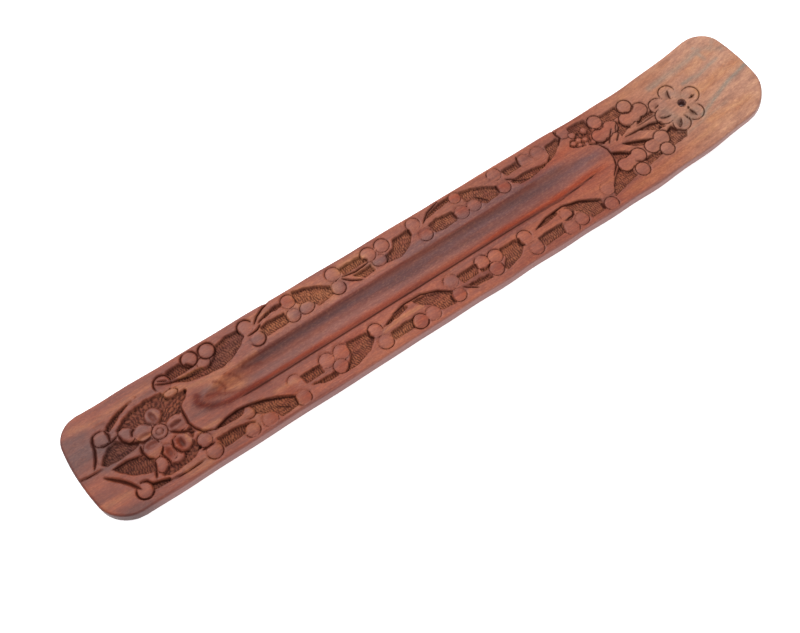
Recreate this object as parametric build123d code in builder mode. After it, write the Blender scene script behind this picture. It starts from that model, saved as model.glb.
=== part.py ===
"""Incense burner: one carved hardwood board, flat underneath, with a raised end that holds the stick.

Frame: X along the board, near end at -X and raised end at +X; Y across; Z up.
The origin is the middle of the bounding box, on the surface that the board lies on.
Carving positions are (s, y): s runs along the underside from the near end, y across the board.
All lengths are in millimetres.
"""

import os
from math import asin, cos, degrees, sin

from build123d import *

os.makedirs("parts", exist_ok=True)

# Board
BOARD_LENGTH = 254.0  # along the underside
BOARD_WIDTH = 36.5
THICKNESS = 4.65
TIP_THICKNESS = 3.3
FLAT_LENGTH = 196.0
BEND_RADIUS = 136.4  # of the underside, where the end rises
NEAR_CORNERS = (7.0, 8.5)  # plan radii on the +Y side and the -Y side
FAR_CORNERS = (8.0, 10.8)
END_BULGE = 2.0  # how far each end bows out between its corners
NEAR_SKEW = 0.9  # how far the near end leans out towards +Y
UPPER_EDGE_ROUND = 0.7
LOWER_EDGE_ROUND = 0.4

# Ash trough, a round-bottomed channel that runs out at both ends
TROUGH_START = 40.5
TROUGH_END = 191.0
TROUGH_RUN_IN = 17.0
TROUGH_RUN_OUT = 12.0
TROUGH_WIDTH = 9.4
TROUGH_DEPTH = 2.0
TROUGH_Y = 0.3

# Carving
CARVING_DEPTH = 1.1
GROOVE_WIDTH = 0.5  # cut round each berry and petal
BERRY = 2.4  # radius
STEM_WIDTH = 1.3
TOP_BAND = 11.8  # Y of the middle of each carved border
BOTTOM_BAND = -11.9

# Stick hole, in the middle of the far flower
STICK_HOLE_RADIUS = 1.25
STICK_HOLE_AT = (228.8, 0.5)

# Worked out
BEND_ANGLE = (BOARD_LENGTH - FLAT_LENGTH) / BEND_RADIUS
PLAN_LENGTH = FLAT_LENGTH + BEND_RADIUS * sin(BEND_ANGLE)
OVERRUN = 8.0  # how far the cutting shapes pass the board
HEADROOM = 30.0  # tall enough to clear the raised end


def face_point(s, depth=0.0):
    """X and Z of the carved face at s, or of the point that far beneath it."""
    past_flat = max(0.0, s - FLAT_LENGTH)
    angle = past_flat / BEND_RADIUS
    thinning = (THICKNESS - TIP_THICKNESS) * past_flat / (BOARD_LENGTH - FLAT_LENGTH)
    radius = BEND_RADIUS - THICKNESS + thinning + depth
    x = min(s, FLAT_LENGTH) + radius * sin(angle) - PLAN_LENGTH / 2
    return x, BEND_RADIUS - radius * cos(angle)


def is_upper(edge):
    """Whether an edge of the uncarved board lies above the middle of its thickness."""
    middle = edge @ 0.5
    lean = asin(max(0.0, middle.X - FLAT_LENGTH + PLAN_LENGTH / 2) / BEND_RADIUS)
    return BEND_RADIUS - (BEND_RADIUS - middle.Z) / cos(lean) > TIP_THICKNESS / 2


def plan(points):
    """Carving positions as plan X and Y."""
    return [(face_point(s)[0], y) for s, y in points]


def side_view(depth):
    """The board seen from the side, longer than the board, with its carved face lowered by depth."""
    start = (-PLAN_LENGTH / 2 - OVERRUN, 0)
    last = BOARD_LENGTH + OVERRUN
    turn = degrees((last - FLAT_LENGTH) / BEND_RADIUS)
    with BuildSketch(Plane.XZ) as view:
        with BuildLine():
            underside = Line(start, (FLAT_LENGTH - PLAN_LENGTH / 2, 0))
            rise = JernArc(underside @ 1, (1, 0), BEND_RADIUS, turn)
            tip = Line(rise @ 1, face_point(last, depth))
            fall = ThreePointArc(
                tip @ 1, face_point((FLAT_LENGTH + last) / 2, depth), face_point(FLAT_LENGTH, depth)
            )
            Polyline(fall @ 1, (start[0], THICKNESS - depth), start)
        make_face()
    return view.sketch


def outlines(point_lists):
    """Sketch of several closed outlines, each a list of carving positions."""
    with BuildSketch() as group:
        for points in point_lists:
            with BuildLine():
                Polyline(*plan(points), close=True)
            make_face()
    return group.sketch


def discs(rounds, grow=0.0):
    """Sketch of berries, petals or bosses, each (s, y, radius)."""
    with BuildSketch() as group:
        for s, y, radius in rounds:
            with Locations(*plan([(s, y)])):
                Circle(radius + grow)
    return group.sketch


def stems(runs):
    """Sketch of stems, each a pair of carving positions."""
    with BuildSketch() as group:
        for first, last in runs:
            with BuildLine() as path:
                Line(*plan([first, last]))
            trace(path.line, STEM_WIDTH)
    return group.sketch


def shifted(points, s, y):
    """Positions of a repeated motif, moved to its place on the board."""
    return [(s + point[0], y + point[1], *point[2:]) for point in points]


# Border motif with a cup: a U-shaped pocket that the berries hang over
CUP_BERRIES = [(12.4, 2.8, BERRY), (17.7, 2.5, BERRY), (15.0, -1.4, BERRY)]
CUP_POCKETS = [
    [(2.8, 3.2), (10.5, 3.2), (10.5, 0.4), (3.2, 0.4)],
    [(4.5, -1.1), (12.4, -1.3), (13.0, -3.5), (8.5, -3.5)],
    [(19.6, 3.7), (26.4, 3.5), (28.0, 1.0), (24.5, -2.4), (19.0, -3.8), (14.0, -3.8), (18.6, -0.4)],
]
# Border motif with an arch: a thin leaf, a stem below it and a pocket that swings down
ARCH_BERRIES = [(15.4, 2.6, BERRY), (13.8, -2.8, BERRY), (19.0, -2.8, BERRY)]
ARCH_POCKETS = [
    [(3.3, 2.5), (8.0, 4.1), (13.0, 4.7), (13.0, 3.3), (8.5, 2.6)],
    [(3.0, 0.1), (12.0, -0.2), (12.0, -3.6), (3.5, -3.6)],
    [(16.9, 4.8), (21.0, 4.1), (26.0, 1.8), (28.6, -0.5), (28.0, -3.8), (21.5, -4.1), (20.2, -1.2)],
]
# Each border is a row of motifs: (s of its start, berries, pockets), with a berry pair at each start
TOP_ROW = [
    (34.0, CUP_BERRIES, CUP_POCKETS),
    (64.0, ARCH_BERRIES, ARCH_POCKETS),
    (95.0, CUP_BERRIES, CUP_POCKETS),
    (127.0, ARCH_BERRIES, ARCH_POCKETS),
    (159.3, CUP_BERRIES, CUP_POCKETS),
]
BOTTOM_ROW = [
    (36.0, ARCH_BERRIES, ARCH_POCKETS),
    (66.0, CUP_BERRIES, CUP_POCKETS),
    (96.0, ARCH_BERRIES, ARCH_POCKETS),
    (124.3, CUP_BERRIES, CUP_POCKETS),
    (154.0, ARCH_BERRIES, ARCH_POCKETS),
]
BERRY_PAIR = [(0.0, 2.8, BERRY), (0.3, -2.6, BERRY)]

# Near flower: six petals round a ringed boss
NEAR_PETALS = [
    (27.0, 5.2, 2.8),
    (22.2, 2.8, 2.6),
    (22.0, -3.2, 2.8),
    (26.0, -7.5, 2.7),
    (30.0, -6.6, 2.8),
    (31.5, -0.6, 3.0),
]
NEAR_BOSS = (26.2, -0.1)
NEAR_BUDS = [
    (17.8, 4.5, 2.4),
    (21.8, -9.2, 2.2),
    (34.4, 8.7, 2.2),
    (11.0, 7.5, 2.4),
    (14.3, -13.3, 2.4),
    (34.0, 12.5, 2.6),
]
NEAR_POCKETS = [
    [(16.5, 7.3), (20.0, 9.3), (25.0, 10.3), (32.0, 10.2), (38.7, 6.8), (35.0, 3.5), (34.5, 0.0), (34.6, -4.0),
     (36.5, -7.5), (33.3, -9.5), (33.6, -11.0), (29.0, -13.2), (21.0, -12.9), (19.8, 0.5)],
    [(7.8, 0.8), (13.0, 4.7), (15.5, 4.0), (19.5, 1.5), (19.3, -0.6), (11.0, -1.0)],
    [(9.8, -2.8), (14.0, -2.6), (20.0, -4.0), (20.5, -7.0), (19.5, -9.8), (16.0, -8.5), (12.0, -5.8)],
    [(13.2, 8.7), (16.0, 9.3), (19.0, 11.2), (26.5, 13.3), (18.5, 12.2)],
]

# Raised end: four trefoils on stems, then the far flower round the stick hole
TREFOILS = [
    [(200.3, 12.8, 2.6), (198.0, 7.3, 2.6), (203.8, 8.0, 2.6)],
    [(212.8, 11.8, 2.5), (210.5, 7.2, 2.7), (216.2, 7.5, 2.7)],
    [(198.0, -6.5, 2.7), (204.5, -6.0, 2.6), (201.5, -11.0, 2.5)],
    [(210.2, -6.0, 2.6), (215.0, -5.3, 2.8), (213.5, -10.0, 2.3)],
]
FAR_STEMS = [
    ((197.5, 0.5), (203.0, 6.5)),
    ((197.5, 0.5), (219.0, 2.8)),
    ((197.5, 0.5), (214.5, -3.6)),
    ((197.5, 0.5), (204.0, -4.0)),
]
FAR_PETALS = [
    (233.2, 1.3, 3.0),
    (227.5, 7.0, 2.8),
    (221.8, 5.0, 2.8),
    (221.5, 0.3, 3.0),
    (223.8, -5.5, 3.0),
    (230.0, -5.0, 2.9),
]
FAR_POCKETS = [
    [(189.5, 15.8), (197.5, 16.0), (205.0, 13.2), (211.5, 13.2), (216.0, 9.5), (219.5, 3.2), (197.0, 0.8),
     (195.0, 4.5), (189.5, 10.8)],
    [(197.0, 0.2), (219.0, -2.5), (220.5, -6.5), (223.3, -9.3), (215.0, -11.0), (203.5, -11.4), (198.0, -10.8),
     (192.0, -13.2), (187.5, -14.0), (192.0, -8.0), (196.2, -5.0)],
]
FAR_BERRIES = [(188.5, 15.4, 2.3), (184.2, -15.3, BERRY), (186.7, -10.0, 2.5), (190.5, 12.8, 1.3), (195.0, 12.2, 1.3)]

# Gather the carving
berries = [*NEAR_BUDS, *FAR_BERRIES]
pockets = [*NEAR_POCKETS, *FAR_POCKETS]
for row, band in ((TOP_ROW, TOP_BAND), (BOTTOM_ROW, BOTTOM_BAND)):
    for start, motif_berries, motif_pockets in row:
        berries += shifted([*BERRY_PAIR, *motif_berries], start, band)
        pockets += [shifted(points, start, band) for points in motif_pockets]
petals = [*NEAR_PETALS, (*NEAR_BOSS, 2.3), *FAR_PETALS]
lobes = [lobe for trefoil in TREFOILS for lobe in trefoil]
standing = [*berries, *petals, *lobes]

with BuildSketch() as sunk:
    add(outlines(pockets))
    add(discs(standing, GROOVE_WIDTH))
    add(discs(standing), mode=Mode.SUBTRACT)
    add(stems(FAR_STEMS), mode=Mode.SUBTRACT)

# Plan outline of the board
half_length = PLAN_LENGTH / 2
half_width = BOARD_WIDTH / 2
with BuildSketch() as board_outline:
    with BuildLine():
        near = ThreePointArc(
            (-half_length + END_BULGE - NEAR_SKEW, half_width),
            (-half_length + NEAR_SKEW / 8, 0),
            (-half_length + END_BULGE + NEAR_SKEW, -half_width),
        )
        far = ThreePointArc(
            (half_length - END_BULGE, -half_width), (half_length, 0), (half_length - END_BULGE, half_width)
        )
        Line(near @ 1, far @ 0)
        Line(far @ 1, near @ 0)
    make_face()
    for end, radii in ((-half_length, NEAR_CORNERS), (half_length, FAR_CORNERS)):
        for side, radius in zip((half_width, -half_width), radii):
            corner = board_outline.vertices().sort_by_distance((end, side, 0))[0]
            fillet(corner, radius=radius)

# The ash trough's cutter: a long spindle lying above the board
section_radius = (TROUGH_WIDTH**2 / 4 + TROUGH_DEPTH**2) / (2 * TROUGH_DEPTH)
spindle_z = THICKNESS - TROUGH_DEPTH + section_radius
with BuildPart() as trough_cutter:
    with BuildSketch(Plane.XZ.offset(-TROUGH_Y)):
        with BuildLine():
            starts, full_from, full_to, ends = [
                s - PLAN_LENGTH / 2
                for s in (
                    TROUGH_START, TROUGH_START + TROUGH_RUN_IN, TROUGH_END - TROUGH_RUN_OUT, TROUGH_END
                )
            ]
            lowest = THICKNESS - TROUGH_DEPTH
            bed = Line((full_from, lowest), (full_to, lowest))
            run_in = TangentArc(bed @ 0, (starts, THICKNESS), tangent=(-1, 0))
            run_out = TangentArc(bed @ 1, (ends, THICKNESS), tangent=(1, 0))
            Polyline(run_out @ 1, (ends, spindle_z), (starts, spindle_z), run_in @ 1)
        make_face()
    revolve(axis=Axis((0, TROUGH_Y, spindle_z), (1, 0, 0)))

# The carving's cutter reaches the same depth below the carved face everywhere
with BuildPart() as carving_cutter:
    extrude(sunk.sketch, amount=HEADROOM)
    extrude(side_view(CARVING_DEPTH), amount=BOARD_WIDTH, both=True, mode=Mode.SUBTRACT)

# The board
hole_x, hole_z = face_point(STICK_HOLE_AT[0])
hole_lean = (STICK_HOLE_AT[0] - FLAT_LENGTH) / BEND_RADIUS
hole_plane = Plane(
    origin=(hole_x, STICK_HOLE_AT[1], hole_z),
    x_dir=(cos(hole_lean), 0, sin(hole_lean)),
    z_dir=(-sin(hole_lean), 0, cos(hole_lean)),
)
with BuildPart() as carved_board:
    extrude(side_view(0), amount=BOARD_WIDTH, both=True)
    extrude(board_outline.sketch, amount=HEADROOM, mode=Mode.INTERSECT)
    rim = carved_board.edges().filter_by(Axis.Y, reverse=True).filter_by(Axis.Z, reverse=True)
    fillet(rim.filter_by(is_upper), radius=UPPER_EDGE_ROUND)
    rim = carved_board.edges().filter_by(Axis.Y, reverse=True).filter_by(Axis.Z, reverse=True)
    fillet(rim.filter_by(is_upper, reverse=True), radius=LOWER_EDGE_ROUND)
    add(trough_cutter.part, mode=Mode.SUBTRACT)
    add(carving_cutter.part, mode=Mode.SUBTRACT)
    with BuildSketch(hole_plane):
        Circle(STICK_HOLE_RADIUS)
    extrude(amount=2 * THICKNESS, both=True, mode=Mode.SUBTRACT)
carved_board.part.label = "carved_board"
export_step(carved_board.part, "parts/carved_board.step")
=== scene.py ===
"""Incense burner carved from one board of rosewood: a dense carved surface, its wood and a soft studio.

The board is one mesh. Its carved face is a grid of points (s, y): s runs along the board's underside
from the near end and y across it, both in millimetres. Every carving tool below lowers or restores
the height of those points, in the order a carver works: trough, sunk grounds, what stands in them,
then the lines cut last. The flat layout is bent up over the raised end at the very end.
"""

import math

import bpy
import numpy as np
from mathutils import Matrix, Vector
from mathutils.geometry import delaunay_2d_cdt


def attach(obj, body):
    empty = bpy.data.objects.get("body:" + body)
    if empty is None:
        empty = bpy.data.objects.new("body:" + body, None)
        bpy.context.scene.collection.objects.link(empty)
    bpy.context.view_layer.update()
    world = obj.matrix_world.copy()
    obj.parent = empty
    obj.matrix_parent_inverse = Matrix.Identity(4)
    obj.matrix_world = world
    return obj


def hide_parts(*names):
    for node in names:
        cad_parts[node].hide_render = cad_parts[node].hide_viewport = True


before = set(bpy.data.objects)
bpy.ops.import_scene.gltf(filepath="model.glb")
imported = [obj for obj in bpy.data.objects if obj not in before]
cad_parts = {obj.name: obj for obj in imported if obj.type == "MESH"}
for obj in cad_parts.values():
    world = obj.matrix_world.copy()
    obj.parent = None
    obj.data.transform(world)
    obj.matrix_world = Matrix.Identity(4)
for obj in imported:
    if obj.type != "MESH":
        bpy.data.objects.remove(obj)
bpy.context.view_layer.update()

MM = 0.001

# ------------------------------------------------------------------ board, in millimetres
LENGTH = 254.0  # along the underside
WIDTH = 36.5
THICKNESS = 4.65
TIP_THICKNESS = 3.3
FLAT = 196.0  # where the underside starts to rise
BEND = 136.4  # radius of the underside past that
PLAN_LENGTH = FLAT + BEND * math.sin((LENGTH - FLAT) / BEND)
NEAR_CORNERS = (7.0, 8.5)  # plan radii on the +y side and the -y side
FAR_CORNERS = (8.0, 10.8)
BULGE = 2.0  # how far each end bows out
NEAR_SKEW = 0.9  # how far the near end leans out towards +y
EDGE = 0.7  # radius worn along the upper edges
LOWER_EDGE = 0.4  # and along the lower ones
HOLE = (228.8, 0.5, 1.25)  # stick hole: s, y, radius
HOLE_EASE = 0.12  # how much wider its mouth is
HOLE_CLEAR = 2.6  # how far the underside's own points stay from its middle

TROUGH_DEPTH = 2.05
RIM_HALF = 0.32  # half the width of the line along the trough's lower rim
GROUND = 1.15  # depth of the sunk grounds
HATCH_PITCH = 0.78  # from one gouge stroke to the next
HATCH_DEPTH = 0.16
ROW_LENGTH = 1.5  # of one row of strokes
ROW_SHIFT = 0.40  # share of the pitch that each row is set over
PETAL_DISH = 0.16  # how far a petal's middle is pressed in
DENT_DEPTH = 0.45  # of the dent in a petal of the near flower
CHIP_DEPTH = 0.55  # of the chip cut out of a petal of the far one
BERRY_LINE = 0.45  # depth of the line cut round a berry
LINE_HALF = 0.14  # half its width
KNIFE_DEPTH = 0.75  # of the lines cut last
PIT_DEPTH = 1.4
FAN_RADIUS = 7.0  # where a fan's strokes have that pitch
LONG_STREAK = 25.0  # of the wood's figure

# The grid: runs of columns from one distance to another with their pitch, then the rows
COLUMN_RUNS = ((EDGE, 4.0, 0.8), (4.0, 40.0, 0.28), (40.0, 186.0, 0.32), (186.0, 237.0, 0.28))
BORDER_ROWS, MIDDLE_ROWS = 42, 20
MIDDLE_HALF = 6.55  # half the width of the middle rows between the borders
END_FADE = 42.0  # how far from an end its outline still bends the columns
UNDER_STEP = 3.0  # between the underside's points

FAR_OFF = 1e9
NO_LINE = 9.0  # widths from a cut line where nothing of it shows
EVERYWHERE = slice(None)


# ------------------------------------------------------------------ small helpers
def smooth(x, low, high):
    """0 below low, 1 above high, with no corner between."""
    t = np.clip((x - low) / (high - low), 0.0, 1.0)
    return t * t * (3 - 2 * t)


def stretch(s, start, full, last, end):
    """0 outside start..end, 1 from full to last."""
    return smooth(s, start, full) * smooth(-s, -end, -last)


def fade(gap, reach):
    """1 where the gap is 0, falling evenly to 0 where it is reach."""
    return np.clip(1 - gap / reach, 0, 1)


def ripple(s, y, size, seed):
    """Smooth unevenness between about -1 and 1, with bumps about that many millimetres wide."""
    rng = np.random.default_rng(seed)
    total = np.zeros_like(s)
    for _ in range(7):
        angle, phase = rng.uniform(0, math.tau, 2)
        wave = rng.uniform(0.6, 1.5) * math.tau / (2 * size)
        total += np.sin((s * math.cos(angle) + y * math.sin(angle)) * wave + phase)
    return total / 3.2


def to_segment(s, y, start, end):
    """Distance to a straight piece, and how far along it the nearest place is, from 0 to 1."""
    (s0, y0), ds, dy = start, end[0] - start[0], end[1] - start[1]
    along = np.clip(((s - s0) * ds + (y - y0) * dy) / (ds * ds + dy * dy), 0, 1)
    return np.hypot(s - s0 - along * ds, y - y0 - along * dy), along


def to_polygon(s, y, points):
    """Distance to a closed outline, negative inside."""
    nearest = np.full(s.shape, FAR_OFF)
    inside = np.zeros(s.shape, bool)
    for (s0, y0), (s1, y1) in zip(points, points[1:] + points[:1]):
        nearest = np.minimum(nearest, to_segment(s, y, (s0, y0), (s1, y1))[0])
        if y1 != y0:
            inside ^= ((y0 > y) != (y1 > y)) & (s < s0 + (y - y0) / (y1 - y0) * (s1 - s0))
    return np.where(inside, -nearest, nearest)


def to_path(s, y, points):
    """Distance to an open run of points, and how far along it the nearest place is, from 0 to 1."""
    nearest = np.full(s.shape, FAR_OFF)
    place = np.zeros(s.shape)
    steps = len(points) - 1
    for i, (start, end) in enumerate(zip(points, points[1:])):
        gap, along = to_segment(s, y, start, end)
        place = np.where(gap < nearest, (i + along) / steps, place)
        nearest = np.minimum(nearest, gap)
    return nearest, place


def to_oval(s, y, oval):
    """Distance to a disc (s, y, radius) or an oval (s, y, radius, radius, turn), negative inside."""
    if len(oval) == 3:
        return np.hypot(s - oval[0], y - oval[1]) - oval[2]
    s0, y0, long, short, turn = oval
    c, n = math.cos(math.radians(turn)), math.sin(math.radians(turn))
    a = ((s - s0) * c + (y - y0) * n) / long
    b = ((y - y0) * c - (s - s0) * n) / short
    return (np.hypot(a, b) - 1) * (long + short) / 2


# ------------------------------------------------------------------ the layout, (s, y) in millimetres
# The trough's two rims
TROUGH_LOWER = [(39.5, -0.9), (41.5, -2.3), (44, -3.5), (48, -4.3), (55, -4.6), (150, -4.5), (172, -5),
                (184, -4), (190.5, -3)]
TROUGH_UPPER = [(39.5, 0.4), (43, 2.4), (50, 4.3), (60, 5), (175, 5.1), (186, 4.2), (190.5, 1.5)]
# Sunk grounds of the near flower, how far the gouge strokes of each are turned, in radians, and the
# place that they fan out from where that is None
NEAR_FAN = (24.5, -2)
NEAR_TURNS = (None, 0.35, -0.2, None, 0.2, 0)
NEAR_GROUNDS = [
    [(15.6, 6.9), (18.5, 9), (22, 10.3), (27, 10.9), (32.2, 10.3), (33, 8), (37.2, 7.3), (38.9, 6.9),
     (37.4, 4.7), (35, 3.2), (34.3, 1.5), (30, 1), (27, 2.5), (22, 4), (19, 6.5)],
    [(7.6, 0.3), (9.5, 2.6), (12, 4.4), (14, 4.6), (15.7, 3.4), (17.2, 1.9), (19.8, 0.4), (19, -0.6),
     (13, -1.1), (9, -0.9)],
    [(9.6, -2.7), (13.5, -2.5), (16.5, -3.2), (19.3, -4.6), (20.8, -6.6), (20.2, -8.5), (19.3, -9.8),
     (16.5, -8.9), (13.5, -7.1), (11.2, -4.9)],
    [(20.3, -12.3), (22.6, -10.6), (25.5, -10.6), (29.5, -9.7), (33, -8), (34.6, -5.6), (34.4, -3.8),
     (33, -3.8), (33.2, -8.6), (33.6, -11), (31, -12.6), (27, -13.3), (22.5, -13.3)],
    [(13.1, 9), (14.6, 10.4), (18, 12), (22, 12.9), (26.4, 13.3), (22.2, 12.3), (19.2, 11.1), (16.8, 9.6),
     (14, 7.9)],
    [(15.6, -12.9), (17.2, -12.7), (22, -13.9), (21.7, -14.9), (17.6, -14.7), (15.6, -14.2)],
]
# Sunk grounds of the two borders, left to right, the upper border first
UPPER_GROUNDS = [
    [(36.2, 12.2), (36.2, 15.2), (41, 15.5), (43, 13), (46.5, 12.2), (40, 11.9)],
    [(37.5, 10.8), (41, 8.7), (46, 7.5), (52, 6.9), (56.5, 8.2), (60, 10.4), (61.9, 12), (61.5, 15),
     (57, 15.3), (53, 14.4), (50.5, 11.2), (48.5, 10.2), (44, 10.9)],
    [(67.2, 13.2), (70, 14.7), (74, 15.6), (77, 15.5), (77, 14.2), (72, 14)],
    [(67.2, 11.9), (70, 12.4), (76, 12), (76, 8.1), (68, 8)],
    [(81.5, 16.6), (85.5, 15.8), (89.5, 13.8), (92.8, 11.5), (92.3, 8.4), (86.5, 7.6), (85, 10),
     (81.5, 11.7), (80.6, 14)],
    [(97.8, 15.2), (106.2, 15.2), (106.8, 12.3), (98.6, 12.2)],
    [(100.5, 10.5), (107.5, 10.6), (107.5, 8), (103.5, 7.6)],
    [(112, 8), (117, 7.3), (121, 8.8), (124.3, 12), (123.9, 14.6), (118, 14.2), (116.3, 11.5),
     (112.5, 10.5)],
    [(130.2, 13.9), (133.5, 15.8), (138, 16.9), (142, 17.1), (141.4, 15.5), (137, 14.9)],
    [(130.4, 11.9), (134, 12.7), (139.6, 11.9), (139.4, 8.1), (135, 7.6), (131, 8.2)],
    [(145.8, 16.5), (150, 15.4), (154.5, 13.2), (157.2, 11.4), (156.6, 8.2), (151, 7.7), (149.5, 9.4),
     (145.5, 12.2)],
    [(161.9, 15.2), (168.2, 15.2), (168.6, 12.6), (163, 12.4)],
    [(162.2, 9.9), (165.5, 10.3), (169.5, 10.4), (173.5, 9.6), (177, 9), (174.5, 8), (169.5, 7.3),
     (164.5, 7.4)],
    [(179.3, 11), (180, 14.6), (185.3, 15), (186, 13.6), (182.5, 10.8), (179, 9), (176.5, 8.7)],
]
LOWER_GROUNDS = [
    [(39.6, -8.8), (43, -7.9), (47.5, -7.2), (50.2, -7.8), (49.6, -9.4), (46, -9.6), (41.5, -9.1)],
    [(38.6, -11.4), (44.5, -11.5), (49.5, -12.6), (50.8, -13.8), (48, -14.6), (44.5, -15.1), (39.5, -15.2)],
    [(51.6, -8.2), (55, -8.7), (60, -10.2), (64, -12.7), (63.7, -16.3), (58, -16.6), (57, -14.2),
     (53.5, -12.4), (51.8, -11.2)],
    [(68.7, -8.6), (75.6, -8.8), (75.6, -11.9), (69.2, -12)],
    [(70, -13), (75, -13.3), (78.3, -13.3), (79, -15.2), (74.5, -15)],
    [(86, -7.4), (92.5, -8), (94.3, -11), (91, -13.8), (85.5, -15.6), (80.3, -15.6), (83.5, -13.3),
     (85.2, -11.4)],
    [(97.6, -10), (102, -8.2), (107.5, -7), (108.6, -8.4), (104, -9.4)],
    [(98.8, -12.5), (104, -11.9), (108.2, -12.2), (106.4, -15.3), (99.2, -15.3)],
    [(110.2, -7.2), (115, -7.6), (119.5, -9.2), (122.8, -11.6), (121.7, -15.8), (116.6, -15.2),
     (115.3, -12.4), (111.7, -9.7)],
    [(126.8, -8), (134, -7.8), (133.6, -11.4), (127.6, -11.5)],
    [(127.2, -12.6), (136, -13.1), (136.6, -15.1), (130.5, -14.6)],
    [(134.4, -10.2), (138.6, -10.6), (137, -12.1), (134.4, -11.7)],
    [(143.8, -8), (150, -8), (151.8, -10.9), (148.3, -14), (142, -15.6), (141.3, -14.4), (143.7, -11.6)],
    [(157.8, -9.2), (162.5, -7.8), (167.3, -7.2), (167.3, -8.6), (162, -9.4)],
    [(156.2, -11.9), (161, -11.6), (166.2, -12), (165.5, -15.4), (157, -15.8)],
    [(170.8, -7.5), (175, -8.2), (179.5, -10.2), (182.3, -12.1), (181.2, -16.2), (175.8, -16.2),
     (174.7, -13.2), (172.3, -10.4)],
]
# Sunk grounds of the raised end
FAR_GROUNDS = [
    [(190, 15.9), (194, 16.2), (198, 15.5), (198, 10.5), (194.8, 9), (193, 11), (190.2, 11.2)],
    [(203, 13.6), (210, 13.8), (211, 11), (209, 9.4), (206, 9.6), (203, 11)],
    [(204.4, 2.8), (208.5, 4.2), (210.5, 4.4), (208, 8.4), (205.8, 8.4), (204, 5)],
    [(211, 3.4), (218.8, 3.3), (219.5, 5), (214, 5.2)],
    [(210.2, 1.6), (214, 1.2), (219, 0.4), (219, -2.9), (216, -2.6)],
    [(202.5, 0.4), (206.5, -0.9), (212, -3.6), (208.5, -4.4), (205.5, -3)],
    [(197, -0.2), (199.5, -1.2), (203.2, -3.9), (200, -4.5), (196.4, -4.6)],
    [(217, -5.2), (219.4, -4), (220.6, -4.8), (220.8, -7.2), (223.2, -8.7), (222, -10.2), (215.5, -10.3)],
    [(204, -8.6), (208, -8.2), (211.2, -9.4), (211.2, -10.4), (204.5, -11.4)],
    [(192.6, -7.4), (195.6, -5.6), (195.6, -8.4), (198.8, -9.3), (198.4, -12), (193, -12.9), (187, -14.2),
     (188, -12.2), (190, -9.6)],
    [(195.6, 4.6), (197.6, 3.8), (199.6, 4.4), (198, 4.8)],
    [(186.8, 9.6), (187.6, 8.5), (190, 7.3), (194, 5.9), (196.5, 4.9), (195.6, 7), (194.9, 9.4),
     (193, 11.2), (190.2, 11.4), (188.6, 11.4)],
]

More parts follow.
